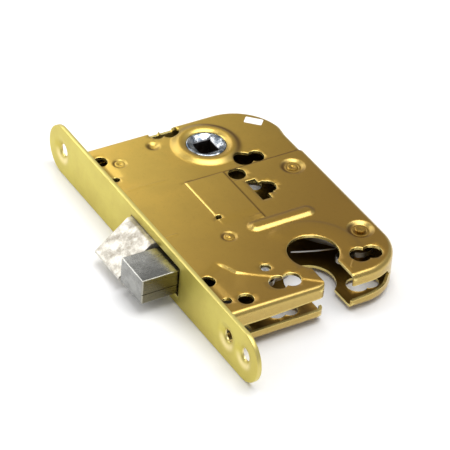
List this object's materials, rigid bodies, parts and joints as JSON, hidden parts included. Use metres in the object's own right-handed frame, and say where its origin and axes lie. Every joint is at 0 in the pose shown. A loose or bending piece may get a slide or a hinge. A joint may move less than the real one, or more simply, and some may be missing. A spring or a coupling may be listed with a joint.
{
  "type": "mortise lock",
  "caption": "Mortise lock with a round-ended forend, bevelled latch bolt, square dead bolt, spindle follower and an opening for a round lock cylinder.",
  "frame": {"origin": "on the forend's front face, level with the follower's axis, halfway through the case's thickness", "axes": "+X down the door, from the follower towards the cylinder; +Y into the door, from the forend to the back of the case; +Z through the door's thickness, up as the lock lies on its side"},
  "size_m": [0.1673, 0.101, 0.022],
  "materials": {
    "case_zinc": "pressed steel sheet, yellow passivated zinc plating, satin",
    "forend_zinc": "steel strip, yellow passivated zinc plating, satin",
    "latch_metal": "sintered steel, tumbled, matt silver",
    "dead_bolt_steel": "ground steel, nickel plated",
    "follower_nickel": "die-cast, bright nickel plated",
    "inner_steel": "stamped steel, bright zinc plated",
    "spring_steel": "drawn spring wire, oiled",
    "label_paper": "blank white paper sticker"
  },
  "bodies": {
    "case": {"forend": "forend_zinc", "case_cover": "case_zinc", "case_base": "case_zinc", "forend_bracket_top": "inner_steel", "forend_bracket_bottom": "inner_steel", "pillar_front_top": "case_zinc", "pillar_front_bottom": "case_zinc", "pillar_rear_top": "case_zinc", "pillar_rear_bottom": "case_zinc", "latch_spring": "spring_steel", "latch_spring_seat": "inner_steel", "follower_spring": "spring_steel", "tumbler_pin": "inner_steel", "tumbler_spring": "spring_steel", "label": "label_paper"},
    "latch": {"latch_head": "latch_metal", "latch_tail": "inner_steel", "latch_rivet": "inner_steel"},
    "follower": {"follower_hub": "follower_nickel", "follower_lever": "inner_steel"},
    "dead_bolt": {"dead_bolt_head": "dead_bolt_steel", "dead_bolt_plate": "inner_steel", "dead_bolt_rivets": "inner_steel"},
    "throw_lever": {"throw_lever": "inner_steel", "throw_pin": "inner_steel"},
    "tumbler": {"tumbler_lever": "inner_steel"}
  },
  "joints": [
    {"name": "follower_turn", "type": "hinge", "parent": "case", "child": "follower", "pos_m": [0, 0.05, 0], "axis": [0, 0, 1], "range_deg": [0, 40], "deforming": ["follower_spring"]},
    {"name": "latch_slide", "type": "slide", "parent": "case", "child": "latch", "axis": [0, 1, 0], "range_m": [0, 0.0154], "stiffness_N_per_m": 250, "springref_m": -0.008, "deforming": ["latch_spring"]},
    {"name": "throw_lever_turn", "type": "hinge", "parent": "case", "child": "throw_lever", "pos_m": [0.0757, 0.0767, 0], "axis": [0, 0, -1], "range_deg": [0, 43.12]},
    {"name": "dead_bolt_slide", "type": "slide", "parent": "case", "child": "dead_bolt", "axis": [0, 1, 0], "range_m": [0, 0.016]},
    {"name": "tumbler_swing", "type": "hinge", "parent": "case", "child": "tumbler", "pos_m": [0.0805, 0.0298, 0], "axis": [0, 0, -1], "range_deg": [0, 8], "stiffness_Nm_per_rad": 0.02, "springref_deg": -5.73, "deforming": ["tumbler_spring"]}
  ],
  "couplings": [
    {"joint": "follower_turn", "follows": "latch_slide", "rad_per_m": 45.33},
    {"joint": "throw_lever_turn", "follows": "dead_bolt_slide", "rad_per_m": 47.03}
  ]
}
